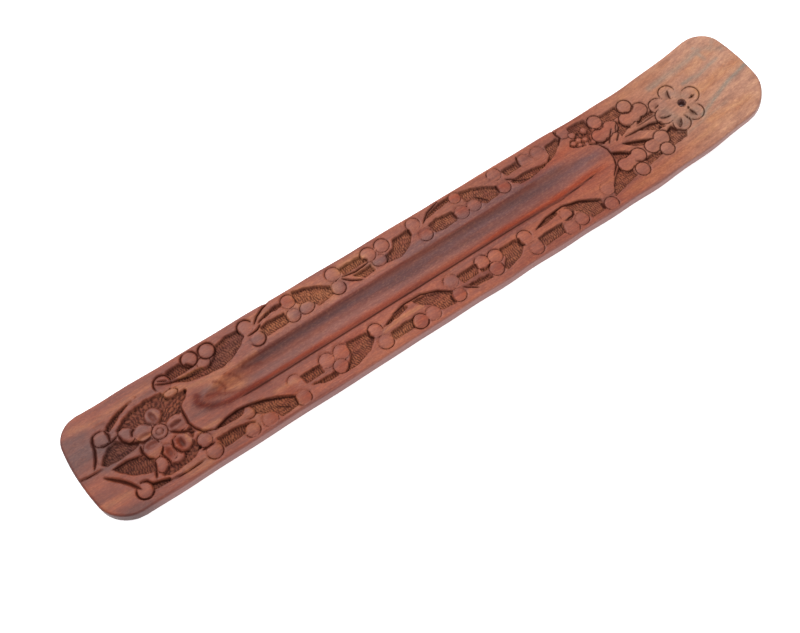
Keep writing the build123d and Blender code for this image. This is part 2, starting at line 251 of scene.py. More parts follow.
# Berries, buds and lobes: (s, y, radius) or (s, y, radius, radius, turn), each with the side that
# its outline is cut on, in degrees, a share from 0, cut all round, to 1, cut on that side only, and
# how heavy that line is where it is not 1
BERRIES = [
    ((11, 7.5, 2.4, 2.3, 0), 150, 0.75, 1.1), ((14.3, -13.3, 2.4), 240, 0.9, 1.9),
    ((34, 12.6, 2.6), 100, 0.8, 1.7), ((17.8, 4.5, 2.1, 2.8, 12), 200, 0.2),
    ((21.8, -9.2, 1.8, 2.4, -12), 160, 0.2), ((34.5, 8.5, 2.2, 1.3, -3), 60, 0.1, 0.8),
    ((26.8, -10.1, 2.2, 1.5, 0), 270, 0.9, 0.5),
    # upper border
    ((47.5, 11.5, 2, 1.8, 0), 40, 0.6), ((44.4, 14.9, 2.5), 90, 0.1, 1.7),
    ((50.1, 14.4, 2.5), 80, 0.1, 1.7), ((63.6, 14.4, 2.4), 110, 0.8, 1.5), ((65, 9, 2.4), 300, 0.9, 1.5),
    ((79, 14.4, 2.3), 60, 0.3), ((78, 9.4, 2.2), 250, 0.4), ((83, 9.4, 2.5, 2, 15), 260, 0.3),
    ((95.6, 14.5, 2.4), 80, 0.5), ((94.6, 9.5, 2.3), 280, 0.5, 1.2),
    ((110.6, 10.2, 2.5, 1.9, -10), 270, 0.4), ((108.6, 14, 2.5), 110, 0.2), ((114, 14.3, 2.4), 60, 0.2),
    ((126.6, 15, 2.3), 90, 0.6), ((128, 9.6, 2.3), 290, 0.7), ((143.5, 15.4, 2), 90, 0.3),
    ((142.3, 9.7, 2.4), 240, 0.3, 0.8), ((147.2, 9.7, 2.3), 290, 0.3, 0.7), ((159.4, 15.3, 2.4), 90, 0.5),
    ((159.3, 9.6, 2.3), 280, 0.7), ((171.1, 14.1, 2.3), 110, 0.5, 0.6), ((176.6, 13.8, 2.5), 80, 0.5, 0.6),
    ((188.6, 15.3, 2.3), 200, 0.6), ((190.6, 12.8, 1.3), 270, 0.3), ((195, 12.2, 1.3), 270, 0.3),
    ((188.9, 9.9, 1.1), 270, 0.5, 0.3), ((191.2, 10, 1.1), 270, 0.5, 0.3),
    ((193.3, 9.1, 1.1), 270, 0.5, 0.3), ((190.5, 8.2, 0.9), 270, 0.5, 0.3),
    ((192.6, 7.2, 0.9), 270, 0.5, 0.3), ((195, 6.8, 1), 270, 0.5, 0.3),
    # lower border
    ((35.6, -9.8, 2.2), 160, 0.3), ((36.4, -14.3, 2.4), 290, 0.8, 1.1), ((50.4, -9.9, 1.9), 330, 0.8),
    ((48.6, -15, 2.3), 270, 0.8), ((54.6, -15.1, 2.4), 290, 0.6, 0.7), ((66.6, -9.2, 2.1), 80, 0.8, 0.6),
    ((66.1, -15.1, 2.4), 290, 0.7), ((78.1, -9.1, 2.4), 90, 0.3, 0.8), ((83.3, -9.2, 2.5), 50, 0.3, 0.7),
    ((80.7, -13, 2.3), 270, 0.3), ((95.6, -9.2, 2.3), 90, 0.6), ((96.3, -14.1, 2.4), 280, 0.6),
    ((108.8, -14.5, 2.5), 250, 0.3, 1.5), ((113.6, -14.5, 2.4), 290, 0.3, 0.7),
    ((124.5, -8.6, 2.4), 90, 0.5, 0.8), ((123.9, -13.9, 2.3), 280, 0.5), ((136.5, -8.7, 2.4), 100, 0.3),
    ((141.3, -9.4, 2.4), 50, 0.3), ((139, -13.2, 2.4), 270, 0.3), ((153.1, -9.2, 2.4), 90, 0.7),
    ((154, -14.5, 2.4), 270, 0.7), ((169.3, -10.2, 2.2), 330, 0.6), ((167.8, -15.1, 2.6), 260, 0.6),
    ((172.6, -14.4, 2.3), 300, 0.5), ((184.2, -15.4, 2.4), 270, 0.2, 1.2),
    ((186.7, -10.2, 2.5), 250, 0.4, 0.6),
]
# Lobes that stay one body, cut round the outside only
TREFOILS = [
    [(200.4, 12.7, 2.6)],
    [(198.1, 7.4, 2.6), (203.8, 8.1, 2.6), (201, 7.3, 2.2)],
    [(212.8, 11.7, 2.5)],
    [(210.3, 7.3, 2.7), (216.1, 7.6, 2.7), (213.2, 6.6, 2.2)],
    [(198, -6.4, 2.7), (203.9, -6, 2.7), (201, -6.4, 2.3)],
    [(201.5, -11, 2.5)],
    [(210.2, -6, 2.7), (214.8, -5.4, 2.8)],
    [(213.5, -9.8, 2.4)],
]
# Near petals: oval, the oval dent cut into it, and how much painted shade lies in that dent
NEAR_PETALS = [
    ((22, 2.7, 2.8, 2.7, 0), (21.9, 1, 2.2, 0.8, -4), 0.15),
    ((26.8, 5.4, 2.7, 2.8, 0), (26.5, 5, 0.85, 2, 8), 0.35),
    ((31.6, -0.5, 3, 3, 0), (31.2, -0.5, 1.9, 0.65, 0), 0.6),
    ((22, -3.6, 2.7, 2.8, 0), (22.3, -2.5, 2.1, 1.1, -4), 0.3),
    ((25.4, -7.3, 1.9, 2.6, 0), (25.5, -7.3, 1.3, 1.9, 0), 0.45),
    ((30, -6.8, 2.8, 2.8, 0), (29.6, -6.6, 1.25, 1.9, 12), 0.75),
]
NEAR_BOSS = (26.2, -0.1)
BOSS_RADIUS, BOSS_RING = 2.3, 1.1  # of the disc, and of the ring cut into it
# Far petals: oval, then the chip cut out of it: from one place to another, how wide its slope is, on the
# left of that way (1) or on its right (-1), and how much painted shade lies in it
FAR_PETALS = [
    ((221.8, 5, 2.8), (220.4, 4.5), (222.8, 4.9), 1, 1, 0.6),
    ((227.5, 6.8, 2.7), (228.1, 7.2), (226.9, 4.4), 1.3, -1, 0.7),
    ((221.3, 0.4, 3.2, 3.1, 0), (219.3, 0.4), (223.4, -0.7), 1.1, -1, 0.8),
    ((223.9, -5.3, 2.9), (222, -6), (225.2, -3.6), 1.3, 1, 0.8),
    ((230, -4.9, 2.9), (229.6, -6), (229.2, -2.8), 1.4, 1, 0.9),
    ((232.9, 1.1, 3), (234.2, 0.3), (231.8, 0.5), 1.1, 1, 0.8),
]
FAR_MIDDLE = (227.0, 0.2)
# Lines cut last: the widest width, then a run of points
CUTS = [
    # near flower
    (0.6, (9.4, 9.7), (8.5, 8), (8, 5.3), (6.8, 2.5), (5.3, 0.2)),
    (0.5, (9.8, 5.5), (10.8, 5), (13.3, 5), (15.5, 5.7)),
    (0.5, (13, 9.2), (13.4, 7.4), (12.9, 5.3)),
    (0.9, (15.7, 5.6), (15.8, 3.4), (17, 1.7), (20.2, 0.2), (20.8, -0.4), (23.4, -0.5)),
    (0.4, (18.8, 3), (19.4, 4.6), (20.6, 4.6)),
    (0.9, (6.4, -3.4), (10, -7), (11.6, -9), (13.6, -12.3)),
    (0.6, (14.2, -10.4), (16, -11), (17, -12.7), (19.2, -13.4), (22, -14.3)),
    (0.5, (20.7, -7.5), (19.6, -10), (18.8, -12)),
    (0.3, (22, -14.9), (27, -15.3), (33, -15)),
    (0.4, (9.6, -2.7), (14, -2.6), (19.2, -3.9)),
    (0.6, (19.4, -0.9), (18.9, -3), (19.6, -5.4), (21.3, -6.8)),
    (0.5, (24.8, -4.9), (23.4, -6.4), (24.2, -9), (24, -11)),
    (0.5, (27.9, -4.4), (27.2, -6.6), (28.4, -9.2), (30.6, -10)),
    (0.7, (28.8, -1.8), (30.6, -3.4), (33, -4.7), (34.6, -6)),
    (0.4, (30.2, 2.2), (34, 2.6), (34.8, 1.4)),
    (0.5, (35, 3.4), (34.5, 0.5), (34.3, -2.6), (35, -5), (36.6, -7.4), (39.8, -8.8)),
    (0.4, (32, 13.6), (34, 12.4), (36.4, 11.4), (38.6, 10.6)),
    (0.3, (33, 14.2), (35.8, 12.6)),
    # upper border
    (0.5, (36.4, 11.4), (40, 10.6), (45.6, 9.6)),
    (0.8, (44.2, 12.2), (42.6, 14.2)),
    (0.5, (66.4, 13.6), (68.6, 15.6), (71.4, 17), (74.6, 17.9)),
    (0.4, (63, 11.3), (66.4, 11.6), (68, 12.6)),
    (0.4, (97, 11.6), (99.4, 9.2), (102.6, 7.4)),
    (0.4, (97.6, 12), (102, 11.2), (107, 11.6)),
    (0.7, (106.6, 13.6), (107.4, 12.3)),
    (0.8, (124.2, 14.4), (123.9, 12.2)),
    (0.7, (139.6, 11.6), (139.7, 8.4)),
    (0.7, (157.2, 11.4), (156.9, 8.6)),
    (0.4, (129.6, 13.3), (133, 16), (138, 17.4)),
    (0.8, (149.4, 12.2), (150.6, 10.8), (152.2, 8.8)),
    (0.4, (161.4, 11.6), (165, 9.2), (169.6, 7.2)),
    (0.7, (169.6, 16.6), (168.8, 14.4), (168.8, 12.6)),
    (0.6, (186.2, 17.9), (186, 16.2), (186.6, 14.4), (184, 12)),
    # lower border
    (0.55, (39.8, -8.8), (44, -7.7), (48, -7.3), (52, -8), (56, -9.1), (60, -10.9), (64, -13)),
    (0.6, (64, -13), (63.6, -16.2)),
    (0.5, (33.6, -12.2), (37.6, -12.1)),
    (0.4, (58, -12.6), (60.4, -14.4), (61.6, -15.2)),
    (0.55, (157.6, -9.3), (163, -7.6), (170, -7.1), (176, -8.7), (182.2, -12.2)),
    (0.5, (167.8, -12), (171.4, -11.6), (172.4, -9.8)),
    (0.4, (126.4, -12.4), (130.6, -15.4)),
    (0.8, (93.6, -7.8), (93.2, -9.8), (94, -11.2)),
    (0.7, (121.6, -12.4), (121.4, -15)),
    (0.7, (134.4, -8.2), (133.9, -10.2)),
    (0.9, (151.2, -8.4), (150.6, -10.4), (151.6, -11.8)),
    (0.8, (181.6, -13), (181.4, -15.8)),
    (0.5, (103, -7.8), (108, -6.8), (114, -7), (119, -8.9), (123, -11.8)),
    # raised end
    (0.6, (193.4, 6.6), (195.6, 4.8), (196.8, 1.6), (196.4, -2), (195, -5), (191.6, -7.8)),
    (0.9, (196.6, -0.2), (199.6, -1.8), (202.4, -4)),
    (0.9, (202.4, 0.4), (206.8, -1.4), (211.6, -3.9)),
    (0.4, (201.6, 2.4), (204.4, 4.6)),
    (0.4, (198.8, 3), (200.8, 5), (203.4, 7.4)),
    (0.3, (203.8, 5.6), (206, 8)),
    (0.7, (205, 2), (210.6, 1.5), (215, 1), (219, -0.6)),
    (0.4, (211, 2.9), (219, 2.8)),
    (0.7, (195.4, 5.8), (197.6, 4.7), (200.8, 4.6)),
    (0.7, (207.9, 4.6), (209.4, 4.2)),
    (0.4, (210.2, 10), (212.6, 8.7)),
    (0.4, (214, 9), (215.6, 10)),
    (0.4, (198.4, 10.2), (200.6, 9.3)),
    (0.5, (201.6, -7.3), (203.4, -8.6), (206.4, -8.8)),
    (0.9, (217.4, -4.9), (220, -4.2), (220.8, -6.2), (223.2, -8.6)),
    # far petals
    (0.4, (219.6, 0.9), (220.8, -0.2), (223.2, -0.8)),
    (0.45, (228.3, 7.4), (227.6, 6), (226.9, 4.2)),
    (0.4, (222.2, -6.3), (223.6, -5.6), (224.8, -3.9)),
    (0.45, (229.7, -6.4), (229.8, -4.6), (229.2, -2.9)),
    (0.3, (231.8, 0.4), (234.2, 0.2)),
    (0.3, (220.4, 4.5), (222.4, 5)),
    (0.25, (226.4, -3.4), (226.9, -6.9)),
    # a check in the near end
    (0.35, (-0.5, -0.2), (3, -0.7), (7.4, -0.9)),
]
# Holes left by the point of a tool: (s, y, radius)
PITS = [(192.7, 12.6, 0.55), (229.4, -2.3, 0.35), (217.4, -1.9, 0.6), (233.2, 0.5, 0.35), (33.3, -10.9, 0.6),
        (38.4, 6.8, 0.5)]


# Figure of the wood, as streaks, and a few streaks of painted light and shade on the trough's walls and the
# near petals: how wide, how strong, then a run of points
FIGURE_AND_PAINTED_LIGHT = {
    # purple-grey heartwood
    "dusk": [
        (5, 1, (0, 6), (5, 7), (11, 5)), (2.5, 0.8, (2, 11.5), (7, 11.5)), (2.5, 0.7, (9, -1.2), (16, 1.2)),
        (1.6, 0.7, (7, -16.5), (13, -17.4)),
        # the second streak on this line is painted shade on the upper half of a near petal
        (2.2, 0.6, (10, 8), (14, 5.5), (19, 4.5), (22, 2.8), (27, 5.5)), (2, 0.4, (24, -2), (20, -2.8)),
        (1.2, 0.9, (38.6, 1.4), (40.6, 0.8)), (1.4, 0.9, (41.5, 2.6), (44, 3.2), (46, 2.6)),
        (1.9, 0.6, (44, -1.8), (50, -1.4), (58, -0.2), (70, 0.2), (90, 0.4), (160, 0.4), (190, 0.6)),
        (2.2, 1, (63, 3.6), (75, 3.6), (100, 3.2), (120, 2.6), (140, 2.8), (165, 2.6), (190, 2.2)),
        (1.2, 0.45, (60, 6.6), (90, 6.4), (116, 6.6)), (1.5, 0.9, (120, 6.7), (172, 6.2)),
        (0.8, 1, (70, 4.4), (76, 3.6)), (1, 1, (108, 1.8), (114, 1.5), (120, 2)),
        (0.9, 1, (126, 3.2), (134, 2.9)),
        (1.6, 0.9, (118, 7.2), (124, 8.2), (132, 7.8), (145, 7.6), (160, 6.6), (176, 5.6)),
        (1.5, 0.9, (107, 10.2), (113, 9.8)), (2, 0.6, (63, 9.3), (67, 9)), (2, 0.7, (78, 9.6), (84, 9.4)),
        (2.2, 0.7, (94, 9.5), (96, 9.7)), (0.8, 0.5, (128, -6.2), (140, -6), (160, -6.2)),
        (1.6, 0.6, (124, -8.6), (126, -8.6)), (3, 0.7, (51, 10), (56, 11), (60, 13)),
    ],
    # pale orange
    "amber": [
        # the second streak here is painted light on a near petal's lit lower facet
        (1.1, 0.75, (36, 9), (41, 6.8), (47, 6), (54, 5.9)), (0.7, 1, (20.2, 1.1), (23.4, 0.8)),
        # the second streak here is a painted highlight on a near petal's lit crest
        (0.35, 0.7, (27.5, 6.6), (28, 5), (28.3, 3.4)), (0.55, 1, (32, -5.3), (32, -7.4)),
        # the first streak here is painted light on the lower half of a near petal
        (0.8, 0.5, (20.6, -5.2), (23.6, -5)), (2.2, 1, (53, -10.5), (58, -13), (63, -14.8)),
        (1.6, 0.9, (39, -13.2), (50, -13.8)), (2.8, 0.9, (82, 14), (87, 12), (91, 10)),
        (1.8, 0.7, (68, 10), (76, 10)), (1.5, 0.8, (100, -13.8), (106, -13.8)),
        (2.6, 0.8, (47.5, 4.2), (49.5, 1.8), (53, 0.2)), (0.8, 0.5, (55, 4.8), (62, 5.6)),
        (0.9, 0.8, (36, -7), (42, -7)), (0.8, 0.7, (37, -10.6), (50, -10.3)),
        (1.4, 1, (27, -15.4), (34, -16)), (1.2, 0.7, (3, -11), (10, -11.3)),
        (1.2, 0.6, (5, 14.6), (12, 13)), (1.4, 0.6, (14, 13), (30, 14.5)), (0.8, 0.8, (60, -9), (67, -9.2)),
        (0.8, 0.8, (98, -11), (105, -10.2), (112, -10.6)), (0.8, 0.6, (66, 15.8), (72, 15.4)),
        (1.9, 1, (98, 14.4), (106, 14.2)), (1.3, 0.9, (102, 9.7), (107, 9.4)),
        (1.2, 1, (32.6, 8.7), (36.6, 8.5)), (0.6, 0.8, (39, 11.2), (46, 10.4)),
        (2.5, 0.9, (236, 0.5), (252, 0)), (2, 0.6, (238, 9), (250, 9)),
        (2.2, 0.8, (232, -10.5), (246, -13)), (1.5, 0.5, (214, 15), (235, 15.5)),
        (1, 0.5, (224, 9.5), (240, 9.3)), (1.5, 0.5, (196, -15.5), (230, -13)),
    ],
    # bright orange-red
    "rust": [
        # the first streak here is painted light on the trough's lower wall, which faces the lamp
        (0.8, 0.8, (48, -2.6), (60, -3), (80, -3)), (1, 1, (29.2, -7.8), (29.2, -5.4)),
        (1.2, 0.8, (25.3, -8.2), (25.3, -6.2)), (0.7, 0.4, (21, -2.4), (23.6, -2.3)),
        # both streaks here are painted light on the trough's lower wall, which faces the lamp
        (1.3, 0.45, (84, -2.9), (120, -3), (146, -2.8)), (1.5, 1, (146, -3), (170, -3.3), (186, -2.8)),
        (0.8, 0.5, (43, 0.6), (46, 1), (49, 2.2)), (1.6, 0.3, (166, 7.4), (176, 8), (186, 9.5)),
        (2.2, 0.35, (196, 8), (204, 8.4)), (2.2, 0.3, (208, 7.5), (217, 8)),
        (2, 0.25, (150, -16.4), (190, -15.5), (215, -14)), (2.5, 0.5, (56, -14), (64, -12)),
        (1.4, 0.5, (33, 12.8), (35.4, 12.4)), (1.5, 0.6, (78.4, 14.8), (79.8, 14.2)),
        (1.3, 0.7, (142.8, 15.8), (144.4, 15.2)), (1.2, 0.5, (141.6, 10.6), (143.4, 10.4)),
        (1.4, 0.7, (158.6, 10), (160, 9.6)), (1.2, 0.5, (127, 10.8), (129, 10.6)),
        (1.6, 0.55, (108.2, -14.6), (109.8, -14.4)), (1.5, 0.5, (65.6, -15), (67, -15)),
        (1.6, 0.4, (82.8, -9.4), (84.2, -9.2)), (1.5, 0.5, (80, -13.4), (81.4, -13)),
        (1.4, 0.5, (123, -14), (125, -14)), (1.5, 0.5, (138.2, -13.6), (140, -13.2)),
        (1.6, 0.4, (38, -12.5), (49, -13)), (1, 0.4, (84, -7), (92, -7)), (2, 0.2, (196, -14), (212, -13)),
    ],
    # deep red
    "ember": [
        (1.5, 0.95, (40.4, 3), (39.4, 1.4), (40.4, -0.4), (42.5, -1.9), (45, -2.8), (48, -3.5), (52, -3.8),
         (60, -4)),
        (0.7, 0.6, (43, 1.6), (46, 0.6), (50, -1.4), (56, -2.6)),
        # these two streaks are painted shade along the trough's lower rim
        (1.2, 0.7, (60, -4), (75, -4), (100, -3.9), (130, -3.9)),
        (0.9, 0.65, (130, -4), (150, -4), (175, -4.5)),
        (0.4, 0.7, (46.6, 4.4), (48.4, 3.2), (48.8, 1.2), (47.6, -0.6)),
        (0.35, 0.6, (50.4, 4.7), (52.8, 3.6), (54, 1.6)), (0.4, 0.5, (55.6, 4.4), (58, 3.2), (62, 2.4)),
        # the first streak here is painted shade along the trough's upper rim
        (0.45, 0.7, (57.6, 4.7), (75, 4.9), (110, 5), (168, 5)), (0.6, 1, (30, -7.6), (30.2, -5.4)),
        (0.8, 0.5, (25.4, -8.4), (25.4, -6)), (0.5, 0.6, (26.4, 6.4), (26.7, 3.8)),
        (0.6, 1, (29.6, -0.6), (32.6, -0.5)), (1.6, 0.4, (12, -5), (19, -8)),
        (0.6, 0.4, (12, 12), (14, 11.4)),
    ],
    # grey-green, on the raised end
    "olive": [
        (0.35, 0.8, (245.3, 14.2), (245.2, 7.6)), (0.6, 0.5, (252, 12), (249.4, 9)),
        (0.9, 1, (231, -7.6), (238, -5.2), (246, -3.6), (254, -2.6)),
        (0.9, 0.8, (234, 5.6), (240, 5), (248, 5.4)), (1.2, 0.7, (224, 11.8), (238, 11.6), (246, 12)),
        (2.2, 0.6, (222, 1), (224, -5.5), (230, -5)), (1, 0.5, (248, 11), (252, 7)),
        (0.6, 0.4, (220, -9.4), (240, -8.8)), (1.6, 0.4, (227, 6.5), (231, 2)),
    ],
}


# ------------------------------------------------------------------ carving tools
class Carving:
    """Heights of the grid's points: cut is how far each lies below the uncarved face."""

    def __init__(self, s, y):
        self.s, self.y = s, y
        self.cut = 0.045 * ripple(s, y, 9.0, 3) + 0.02 * ripple(s, y, 3.0, 4) + 0.03
        self.hollow_shade = np.zeros_like(s)  # painted shade that gathers in cuts and hollows
        self.hatch = np.zeros_like(s)  # how much of the ground is gouged
        self.polish = np.zeros_like(s)  # handled faces, greyer than cut wood
        self.stroke = np.zeros_like(s)  # counts the gouge strokes across a ground
        self.row = np.zeros_like(s)  # counts the rows of strokes along it
        self.owner = np.full_like(s, -FAR_OFF)  # how far inside the ground that gave the two counts
        self.line = np.full_like(s, NO_LINE)  # distance to the nearest cut line, in widths of that line
        # streaks of the wood's colours, a few of them painted light and shade
        self.figure = {name: np.zeros_like(s) for name in FIGURE_AND_PAINTED_LIGHT}

    def near(self, points, reach):
        """The grid points within reach of a group of points: their numbers, s and y."""
        places = np.array([p[:2] for p in points])
        low, high = places.min(0) - reach, places.max(0) + reach
        s, y = self.s, self.y
        at = np.flatnonzero((s > low[0]) & (s < high[0]) & (y > low[1]) & (y < high[1]))
        return at, s[at], y[at]

    def darken(self, at, share):
        """Paints shade where there is less of it."""
        self.hollow_shade[at] = np.maximum(self.hollow_shade[at], share)

    def draw_line(self, at, gap):
        """Adds a cut line, given the distance to it in its own widths."""
        self.line[at] = np.minimum(self.line[at], gap)

    def trough(self):
        """The ash channel: round-bottomed, with a steeper wall on its lower side, run out at both ends."""
        s, y = self.s, self.y
        lower, upper = np.interp(s, *zip(*TROUGH_LOWER)), np.interp(s, *zip(*TROUGH_UPPER))
        depth = TROUGH_DEPTH * stretch(s, 38.5, 60.0, 172.0, 192.0) ** 0.8
        middle, half = (upper + lower) / 2, np.maximum((upper - lower) / 2, 0.05)
        across = np.clip((y - middle) / half, -1, 1)
        section = np.where(across < 0, 1 - np.abs(across) ** 2.6, 1 - across**2 * (0.75 + 0.25 * across**2))
        self.cut = np.maximum(self.cut, self.cut * 0.5 + depth * section)
        # the lower rim is a cut line with a soft shade on each side, the upper one only a shade
        rim = y - lower + 0.05
        strength = stretch(s, 46.0, 58.0, 184.0, 191.0)
        self.cut += 0.22 * fade(np.abs(rim), RIM_HALF) * strength
        self.darken(EVERYWHERE, 0.40 * np.where(rim > 0, fade(rim, 1.7), fade(-rim, 0.5)) * strength)
        self.draw_line(EVERYWHERE, np.abs(rim) / (RIM_HALF * strength + 1e-3))
        shade = 0.36 * fade(np.abs(y - upper + 0.25), 0.55)
        self.darken(EVERYWHERE, shade * stretch(s, 57.0, 68.0, 178.0, 188.0))

    def sink(self, outline, seed, turn):
        """A ground sunk to a rough floor of gouge strokes: turned that far, or a fan where turn is None."""
        at, s, y = self.near(outline, 1.5)
        inside = -to_polygon(s, y, outline) + 0.10 * ripple(s, y, 1.6, seed)
        wall = smooth(inside, -0.10, 0.34)
        if turn is None:
            phase = np.arctan2(y - NEAR_FAN[1], s - NEAR_FAN[0]) * FAN_RADIUS / HATCH_PITCH
            row = np.hypot(s - NEAR_FAN[0], y - NEAR_FAN[1]) / ROW_LENGTH
        else:
            phase = (s * math.cos(turn) + y * math.sin(turn)) / HATCH_PITCH
            row = (y * math.cos(turn) - s * math.sin(turn)) / ROW_LENGTH
        phase = phase + 0.30 * ripple(s, y, 1.9, seed + 50)
        row = row + 0.25 * ripple(s, y, 3.0, seed + 70)
        stroke = 0.5 + 0.5 * np.cos(math.tau * (phase + ROW_SHIFT * np.floor(row)))
        floor = GROUND - HATCH_DEPTH * (1 - stroke) + 0.09 * ripple(s, y, 2.4, seed + 9)
        self.cut[at] = np.maximum(self.cut[at], wall * (floor + 0.18 * fade(inside, 0.9)))
        # painted shade, heaviest along the ground's walls and light over its floor
        self.darken(at, wall * (0.10 + 0.55 * fade(inside - 0.15, 0.55)))
        self.hatch[at] = np.maximum(self.hatch[at], wall)
        closest = inside > self.owner[at]
        kept = at[closest]
        self.owner[kept], self.stroke[kept], self.row[kept] = inside[closest], phase[closest], row[closest]

    def stand(self, ovals, side=0.0, bias=0.0, weight=1.0, low=0.05, fall=0.24, rough=0.0):
        """A berry, bud or group of lobes left standing: slightly domed, with a line cut round its outside."""
        at, s, y = self.near(ovals, max(max(o[2:4]) for o in ovals) + 1.2)
        gap = np.min([to_oval(s, y, o) for o in ovals], axis=0) + rough * ripple(s, y, 1.7, 61)
        middle = np.mean([o[:2] for o in ovals], axis=0)
        facing = np.cos(np.arctan2(y - middle[1], s - middle[0]) - math.radians(side))
        strength = 1 - bias * smooth(-facing, -0.25, 0.55)
        size = np.mean([min(o[2:4]) for o in ovals])
        dome = low + fall * np.clip(1 + gap / size, 0, 1) ** 3 * (0.35 + 0.65 * strength)
        inside = smooth(-gap, -0.02, 0.3)
        clear = smooth(WIDTH / 2 - EDGE - np.abs(y), -0.2, 0.8)  # of the board's edge
        line = fade(np.abs(gap - 0.12), 0.30) * strength * clear * weight
        self.cut[at] = np.maximum(self.cut[at], BERRY_LINE * line) * (1 - inside) + dome * inside
        # no painted shade on its top, and painted shade along the line round it
        self.hollow_shade[at] *= 1 - inside
        self.darken(at, 0.34 * fade(np.abs(gap - 0.1), 0.5) * strength * weight)
        self.line[at] = np.where(gap < 0, NO_LINE, self.line[at])
        self.draw_line(at, np.abs(gap - 0.08) / (LINE_HALF * weight * strength * clear + 1e-3))
        self.hatch[at] *= 1 - inside
        self.polish[at] = np.maximum(self.polish[at], inside * smooth(-gap, 0.2, 1.2))

    def dent(self, oval, dark):
        """A spoon-shaped dent, steepest on its right, with painted shade in it that is heavier on its right.
        """
        at, s, y = self.near([oval], 3.0)
        gap = to_oval(s, y, oval) + 0.08 * ripple(s, y, 1.3, 62)
        inside = smooth(-gap, -0.15, 0.95 * min(oval[2:4]))
        self.cut[at] += DENT_DEPTH * inside
        self.darken(at, dark * inside * (0.75 + 0.25 * smooth(s, oval[0] - 1, oval[0] + 1)))
        self.draw_line(at, 0.5 + np.abs(gap + 0.05) / 0.12 + 3 * smooth(oval[0] - s, -0.6, 0.2))

    def petal(self, oval, start, end, width, hand, dark):
        """A far petal: a pad, dished a little, cut round its far side only, with a chip cut out of it and
        painted shade in the chip and the dish.
        """
        side = math.degrees(math.atan2(oval[1] - FAR_MIDDLE[1], oval[0] - FAR_MIDDLE[0]))
        self.stand([oval], side, 0.85, 1.25, low=0.06)
        at, s, y = self.near([oval], 4.0)
        gap = to_oval(s, y, oval)
        dish = smooth(-gap, 0.3, 1.7)
        length = math.dist(start, end)
        ahead = (end[0] - start[0]) / length, (end[1] - start[1]) / length
        place = ((s - start[0]) * ahead[0] + (y - start[1]) * ahead[1]) / length
        across = ((y - start[1]) * ahead[0] - (s - start[0]) * ahead[1]) * hand
        taper = np.clip(4.4 * place * (1 - place), 0, 1) ** 0.6
        slope = np.where(across < 0, fade(-across, 0.22), fade(across, np.maximum(width * taper, 0.05)))
        chip = slope * taper * smooth(-gap, -0.3, 0.2)
        self.cut[at] += PETAL_DISH * dish + CHIP_DEPTH * chip
        self.darken(at, 0.8 * dark * chip + 0.12 * dish)
        on_chip = at[(gap < 0) & (place > 0) & (place < 1)]
        edge = np.abs(across) / (0.11 * taper + 1e-3)
        self.draw_line(on_chip, edge[(gap < 0) & (place > 0) & (place < 1)])

    def boss(self):
        """The middle of the near flower: a low disc with a ring cut into it."""
        self.stand([(*NEAR_BOSS, BOSS_RADIUS)], fall=0.25)
        gap = np.abs(np.hypot(self.s - NEAR_BOSS[0], self.y - NEAR_BOSS[1]) - BOSS_RING)
        ring = fade(gap, 0.4)
        self.cut += 0.22 * ring
        # painted shade in the ring
        self.darken(EVERYWHERE, 0.35 * ring)
        self.draw_line(EVERYWHERE, 0.5 + gap / 0.16)

    def groove(self, width, *points):
        """A line that the knife cuts, pointed at both ends."""
        at, s, y = self.near(points, width + 0.8)
        gap, place = to_path(s, y, points)
        taper = np.clip(6 * place * (1 - place), 0, 1) ** 0.7 * 0.75 + 0.25
        half = width / 2 * taper + 0.08
        deeper = np.maximum(KNIFE_DEPTH * taper, self.cut[at]) - self.cut[at]
        self.cut[at] += deeper * np.clip(1.25 - gap / half, 0, 1)
        # painted shade in and beside the cut
        self.darken(at, 0.5 * np.clip(1.4 - gap / (half + 0.2), 0, 1))
        self.draw_line(at, gap / (0.62 * half))

    def pit(self, s0, y0, radius):
        """A round hole left by the point of a tool."""
        gap = np.hypot(self.s - s0, self.y - y0)
        self.cut = np.maximum(self.cut, PIT_DEPTH * smooth(-gap, -radius * 1.15, -radius * 0.6))
        # painted shade in the hole
        self.darken(EVERYWHERE, smooth(-gap, -radius * 1.4, -radius * 0.8))

    def streak(self, name, width, strength, *points):
        """A streak of one of the wood's colours, ragged along the grain; a few stand for painted light and
        shade. A long one tapers along it too.
        """
        at, s, y = self.near(points, 7.0 * width)
        shrink = 0.3 if points[-1][0] - points[0][0] > LONG_STREAK else 1.0
        ragged = y + min(0.2 * width, 0.3) * ripple(s * 0.25, y, 1.3, len(name))
        gap, _ = to_path(s * shrink, ragged, [(a * shrink, b) for a, b in points])
        self.figure[name][at] = np.maximum(self.figure[name][at], strength * np.exp(-((gap / width) ** 2)))


def carve_face(s, y):
    """All the carving, in the order it is cut."""
    face = Carving(s, y)
    face.trough()
    for i, (outline, turn) in enumerate(zip(NEAR_GROUNDS, NEAR_TURNS)):
        face.sink(outline, 100 + i, turn)
    for i, outline in enumerate(UPPER_GROUNDS + LOWER_GROUNDS):
        face.sink(outline, 200 + i, 0.25 * math.sin(i * 2.4))
    for i, outline in enumerate(FAR_GROUNDS):
        face.sink(outline, 300 + i, 0.2 * math.sin(i * 1.7))
    for oval, *line in BERRIES:
        face.stand([oval], *line)
    for lobes in TREFOILS:
        face.stand(lobes, weight=1.3, low=0.06, fall=0.26)
    for oval, dent, dark in NEAR_PETALS:
        face.stand([oval], weight=0.6, low=0.06, fall=0.22, rough=0.14)
        face.dent(dent, dark)
    for petal in FAR_PETALS:
        face.petal(*petal)
    face.boss()
    for cut in CUTS:
        face.groove(*cut)
    for pit in PITS:
        face.pit(*pit)
    for name, streaks in FIGURE_AND_PAINTED_LIGHT.items():
        for streak in streaks:
            face.streak(name, *streak)
    return face


